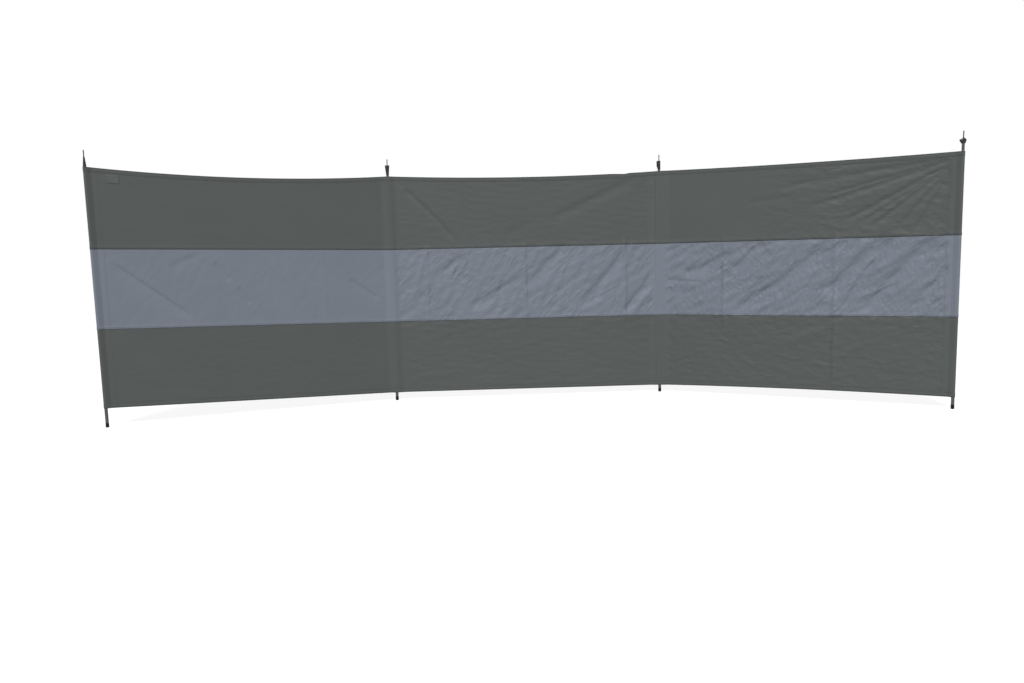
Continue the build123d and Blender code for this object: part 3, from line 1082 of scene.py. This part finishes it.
def cloth_material(name, colour, thread, lean, rows, dark_edge):
    """Coated woven cloth with rows of stitches at distances from its edge, which may be darker, and
    painted shade in and beside the stitch grooves.
    """
    material, nodes = new_material(name)
    uv = nodes.add("ShaderNodeUVMap", uv_map="UVMap").outputs["UV"]
    flat = nodes.add("ShaderNodeSeparateXYZ", {"Vector": uv}).outputs
    run, distance = flat["X"], flat["Y"]
    weave = nodes.group(weave_group, place=uv, threads=THREADS)
    amount = nodes.attribute("crinkled")
    crinkles = nodes.group(crinkle_group, place=uv, lean=lean, amount=amount)
    sewn = nodes.attribute("sewn_distance")
    side = nodes.group(stitch_group, run=distance, distance=sewn, row=SIDE_ROW)
    mask = nodes.math("MULTIPLY", side["Mask"], SIDE_MASK)
    groove = nodes.math("MULTIPLY", side["Groove"], SIDE_GROOVE)
    for row in rows:
        made = nodes.group(stitch_group, run=run, distance=distance, row=row)
        mask = nodes.math("MAXIMUM", mask, made["Mask"])
        groove = nodes.math("MAXIMUM", groove, made["Groove"])
    base = nodes.mix(crinkles["Shade"], *(toned(colour, tone) for tone in SHADE_TONES))
    if dark_edge > 0.0:
        at_edge = nodes.math("LESS_THAN", distance, dark_edge)
        base = nodes.mix(nodes.math("MULTIPLY", at_edge, EDGE_MIX), base, toned(colour, EDGE_TONE))
    # Painted shade: the cloth is darkened in and beside each stitch's groove, where the sewn cloth dips
    base = nodes.mix(nodes.math("MULTIPLY", groove, GROOVE_SHADE_MIX), base, toned(colour, GROOVE_SHADE_TONE))
    base = nodes.mix(nodes.math("MULTIPLY", mask, THREAD_MIX), base, thread)
    height = nodes.math("MULTIPLY", crinkles["Height"], CRINKLE_BUMP)
    height = nodes.math("MULTIPLY_ADD", weave["Height"], WEAVE_BUMP, height)
    height = nodes.math("MULTIPLY_ADD", groove, GROOVE_BUMP, height)
    height = nodes.math("MULTIPLY_ADD", mask, STITCH_BUMP, height)
    nodes.surface({"Height": height, "Strength": 1.0, "Distance": 1.0}, {
        "Base Color": base,
        "Roughness": nodes.math("MULTIPLY_ADD", crinkles["Shade"], *CLOTH_ROUGHNESS),
        "Specular IOR Level": 0.32,
        "Sheen Weight": 0.12,
        "Sheen Roughness": 0.4,
    })
    return material


# The grain of the hard parts, and the share of a scuff's colour and roughness on them
GRAIN_SCALE = 900.0
SCUFF_MIX = 0.35
SCUFF_ROUGHNESS = 0.1


def hard_material(name, colour, roughness, metallic, shine, scuff_scale, scuff_colour):
    """Coated steel, bare steel or moulded plastic with light scuffs."""
    material, nodes = new_material(name)
    place = nodes.add("ShaderNodeTexCoord").outputs["Object"]
    scuffs = nodes.group(scuff_group, place=place, scale=scuff_scale)["Mask"]
    grain = nodes.noise(place, GRAIN_SCALE, 2.0)
    nodes.surface({"Height": grain, "Strength": 0.12, "Distance": 0.0004}, {
        "Base Color": nodes.mix(nodes.math("MULTIPLY", scuffs, SCUFF_MIX), colour, scuff_colour),
        "Roughness": nodes.math("MULTIPLY_ADD", scuffs, SCUFF_ROUGHNESS, roughness),
        "Metallic": metallic,
        "Specular IOR Level": shine,
    })
    return material


# Distances of the stitch rows from the edge on a lap and on a hem, the darker edge of a hem where
# it hides the band, the slant of the light band's crinkles, and how much paler the patch is
LAP_ROWS = (0.0025, 0.0095)
HEM_ROWS = (0.006, 0.0205, 0.0255)
HEM_DARK_EDGE = 0.0065
LIGHT_LEAN = math.radians(48)
PATCH_TONE = 1.16


# Cloth finishes: colour setting, its tone, lean of the crinkles, stitch rows and darker edge
CLOTH_FINISHES = {
    "light": ("light_colour", 1.0, LIGHT_LEAN, LAP_ROWS, 0.0),
    "dark": ("dark_colour", 1.0, 0.0, LAP_ROWS, 0.0),
    "hem": ("dark_colour", 1.0, 0.0, HEM_ROWS, HEM_DARK_EDGE),
    "strip": ("dark_colour", 1.0, 0.0, (), 0.0),
    "patch": ("dark_colour", PATCH_TONE, 0.0, (), 0.0),
}


def cloth_finish(cloth, name):
    """The cloth material of that name, made once."""
    if name not in MATERIALS:
        setting, tone, *looks = CLOTH_FINISHES[name]
        colour = toned(getattr(cloth, setting), tone)
        MATERIALS[name] = cloth_material(
            f"{name}_cloth_finish", colour, tuple(cloth.thread_colour), *looks
        )
    return MATERIALS[name]


# Hard finishes: colour setting, roughness, metallic, shine, and the scuffs' scale and colour
HARD_FINISHES = {
    "coated_steel": ("pole_colour", 0.42, 0.0, 0.5, 30.0, (0.1, 0.1, 0.1)),
    "moulded_cap": ("cap_colour", 0.55, 0.0, 0.2, 60.0, (0.05, 0.05, 0.05)),
    "moulded_foot": ("foot_colour", 0.65, 0.0, 0.1, 80.0, (0.03, 0.029, 0.027)),
    "dull_steel": ("pin_colour", 0.55, 0.4, 0.3, 90.0, (0.1, 0.095, 0.09)),
}
POLE_FINISHES = {
    "lower_tube": "coated_steel",
    "upper_tube": "coated_steel",
    "cap": "moulded_cap",
    "foot": "moulded_foot",
    "pin": "dull_steel",
}


class WINDBREAK_OT_cloth(bpy.types.Operator):
    """Make every band, hem and sleeve strip of the windbreak's cloth"""

    bl_idname = "windbreak.cloth"
    bl_label = "Make the cloth"

    def execute(self, context):
        cloth = context.scene.windbreak_cloth
        for bay in range(len(BAY_NAMES)):
            bottom_hem = make_hem(cloth, bay, False, cloth_finish(cloth, "hem"))
            top_hem = make_hem(cloth, bay, True, cloth_finish(cloth, "hem"))
            for band, band_name in enumerate(BAND_NAMES):
                finish = cloth_finish(cloth, "light" if band_name == "middle_band" else "dark")
                piece, flat = make_band(cloth, bay, band, finish)
                if bay == 0:
                    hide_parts("pole_1_sleeve")
                if bay == 2:
                    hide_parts("pole_4_sleeve")
        for pole in INNER_POLES:
            piece, flat = make_back_strip(cloth, pole, cloth_finish(cloth, "strip"))
        return {"FINISHED"}


class WINDBREAK_OT_patch(bpy.types.Operator):
    """Make the plain sewn patch near the left upper corner"""

    bl_idname = "windbreak.patch"
    bl_label = "Make the corner patch"

    def execute(self, context):
        cloth = context.scene.windbreak_cloth
        piece = make_patch(cloth, cloth_finish(cloth, "patch"))
        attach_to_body(piece, "left_bay")
        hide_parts("left_bay_corner_patch")
        return {"FINISHED"}


class WINDBREAK_OT_poles(bpy.types.Operator):
    """Give the poles, caps, pins and feet their finishes"""

    bl_idname = "windbreak.poles"
    bl_label = "Finish the poles"

    def execute(self, context):
        hardware = context.scene.windbreak_hardware
        finishes = {
            name: hard_material(name, tuple(getattr(hardware, setting)), *looks)
            for name, (setting, *looks) in HARD_FINISHES.items()
        }
        for number in range(1, POLE_COUNT + 1):
            for part, finish in POLE_FINISHES.items():
                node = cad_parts[f"pole_{number}_{part}"]
                node.data.materials.clear()
                node.data.materials.append(finishes[finish])
        return {"FINISHED"}


def aim(place, heading, pitch, roll):
    """A camera's matrix from its place, heading, downward pitch and clockwise roll."""
    turned = Matrix.Rotation(-heading, 4, "Z") @ Matrix.Rotation(math.pi / 2 - pitch, 4, "X")
    return Matrix.Translation(place) @ turned @ Matrix.Rotation(-roll, 4, "Z")


# How far from the origin the lamps' objects stand, which doesn't change their light
LAMP_DISTANCE = 8.0


def soft_sun(name, bearing, height, spread, strength, shadow):
    """A wide, even light from a bearing to the left of the front and a height above the horizon."""
    lamp = bpy.data.lights.new(name, "SUN")
    lamp.angle = spread
    lamp.energy = strength
    lamp.use_shadow = shadow
    made = new_object(name, lamp)
    level = math.cos(height)
    towards = Vector((-math.sin(bearing) * level, -math.cos(bearing) * level, math.sin(height)))
    made.location = towards * LAMP_DISTANCE
    made.rotation_mode = "QUATERNION"
    made.rotation_quaternion = (-towards).to_track_quat("-Z", "Y")


def sees_background(nodes):
    """1 for rays that should see a plain white background."""
    path = nodes.add("ShaderNodeLightPath").outputs
    seen = nodes.math("MAXIMUM", path["Is Camera Ray"], path["Is Glossy Ray"])
    return nodes.math("MAXIMUM", seen, path["Is Transmission Ray"])


# The floor's grey for the light that it throws back, and its fade to plain white: full shading
# within 4 m of the origin and none past 8 m
FLOOR_GREY = (0.4, 0.4, 0.4)
WHITE = (1.0, 1.0, 1.0)
FLOOR_FADE = -0.25
FLOOR_FADE_START = 2.0


def floor_material(shade):
    """A floor that is white to see, with a soft shadow near the object, and grey for what it lights."""
    material, nodes = new_material("floor_finish")
    seen = sees_background(nodes)
    colour = nodes.mix(seen, FLOOR_GREY, WHITE)
    diffuse = nodes.add("ShaderNodeBsdfDiffuse", {"Color": colour}).outputs["BSDF"]
    white = nodes.add("ShaderNodeEmission").outputs["Emission"]
    place = nodes.add("ShaderNodeTexCoord").outputs["Object"]
    away = nodes.add("ShaderNodeVectorMath", {"Vector": place}, operation="LENGTH").outputs["Value"]
    fading = nodes.math("MULTIPLY_ADD", away, FLOOR_FADE, FLOOR_FADE_START)
    near = nodes.math("MAXIMUM", nodes.math("MINIMUM", fading, 1.0), 0.0)
    shaded = nodes.math("MULTIPLY", near, shade)
    plain = nodes.math("MULTIPLY", seen, nodes.math("SUBTRACT", 1.0, shaded))
    mixed = nodes.add("ShaderNodeMixShader", {"Fac": plain, 1: diffuse, 2: white})
    nodes.add("ShaderNodeOutputMaterial", {"Surface": mixed.outputs["Shader"]})
    return material


def set_sky(strength):
    """A world that is white where it is seen, and an even grey where it gives light."""
    world = bpy.data.worlds.new("sky")
    bpy.context.scene.world = world
    world.use_nodes = True
    nodes = Nodes(world.node_tree)
    level = nodes.math("MULTIPLY_ADD", sees_background(nodes), 1.0 - strength, strength)
    light = nodes.add("ShaderNodeBackground", {"Color": (*WHITE, 1.0), "Strength": level})
    nodes.add("ShaderNodeOutputWorld", {"Surface": light.outputs["Background"]})


class WINDBREAK_OT_stage(bpy.types.Operator):
    """Set the floor, the lamps and the camera"""

    bl_idname = "windbreak.stage"
    bl_label = "Set the stage"

    def execute(self, context):
        stage = context.scene.windbreak_stage
        mesh = grid_mesh("floor", 2, 2, stage.floor_size / 2)
        mesh.materials.append(floor_material(stage.floor_shade))
        new_object("floor", mesh)
        set_sky(stage.sky_strength)
        for name, shadow in (("key", True), ("back", False)):
            bearing, height, strength = (
                getattr(stage, f"{name}_{setting}") for setting in ("bearing", "height", "strength")
            )
            soft_sun(f"{name}_light", bearing, height, stage.light_spread, strength, shadow)
        camera = bpy.data.cameras.new("camera")
        camera.sensor_width = 36.0
        camera.lens = stage.camera_lens
        camera.clip_start = 0.05
        camera.clip_end = 300.0
        holder = new_object("camera", camera)
        holder.matrix_world = aim(
            stage.camera_place, stage.camera_heading, stage.camera_pitch, stage.camera_roll
        )
        context.scene.camera = holder
        context.scene.view_settings.view_transform = "Standard"
        return {"FINISHED"}


class WINDBREAK_PT_panel(bpy.types.Panel):
    """Lists the windbreak's operators"""

    bl_label = "Beach windbreak"
    bl_idname = "WINDBREAK_PT_panel"
    bl_space_type = "VIEW_3D"
    bl_region_type = "UI"
    bl_category = "Windbreak"

    def draw(self, context):
        for operator in OPERATORS:
            self.layout.operator(operator.bl_idname)


OPERATORS = (WINDBREAK_OT_stage, WINDBREAK_OT_cloth, WINDBREAK_OT_patch, WINDBREAK_OT_poles)
SETTINGS = {
    "windbreak_cloth": ClothSettings,
    "windbreak_hardware": HardwareSettings,
    "windbreak_stage": StageSettings,
}
CLASSES = (*SETTINGS.values(), *OPERATORS, WINDBREAK_PT_panel)


def register():
    """Add the settings, the operators and the panel."""
    for made in CLASSES:
        bpy.utils.register_class(made)
    for name, settings in SETTINGS.items():
        setattr(bpy.types.Scene, name, PointerProperty(type=settings))


def unregister():
    """Take them out again."""
    for name in SETTINGS:
        delattr(bpy.types.Scene, name)
    for made in reversed(CLASSES):
        bpy.utils.unregister_class(made)


def main():
    """Build the whole scene."""
    register()
    bpy.ops.windbreak.stage()
    bpy.ops.windbreak.cloth()
    bpy.ops.windbreak.patch()
    bpy.ops.windbreak.poles()


if __name__ == "__main__":
    main()
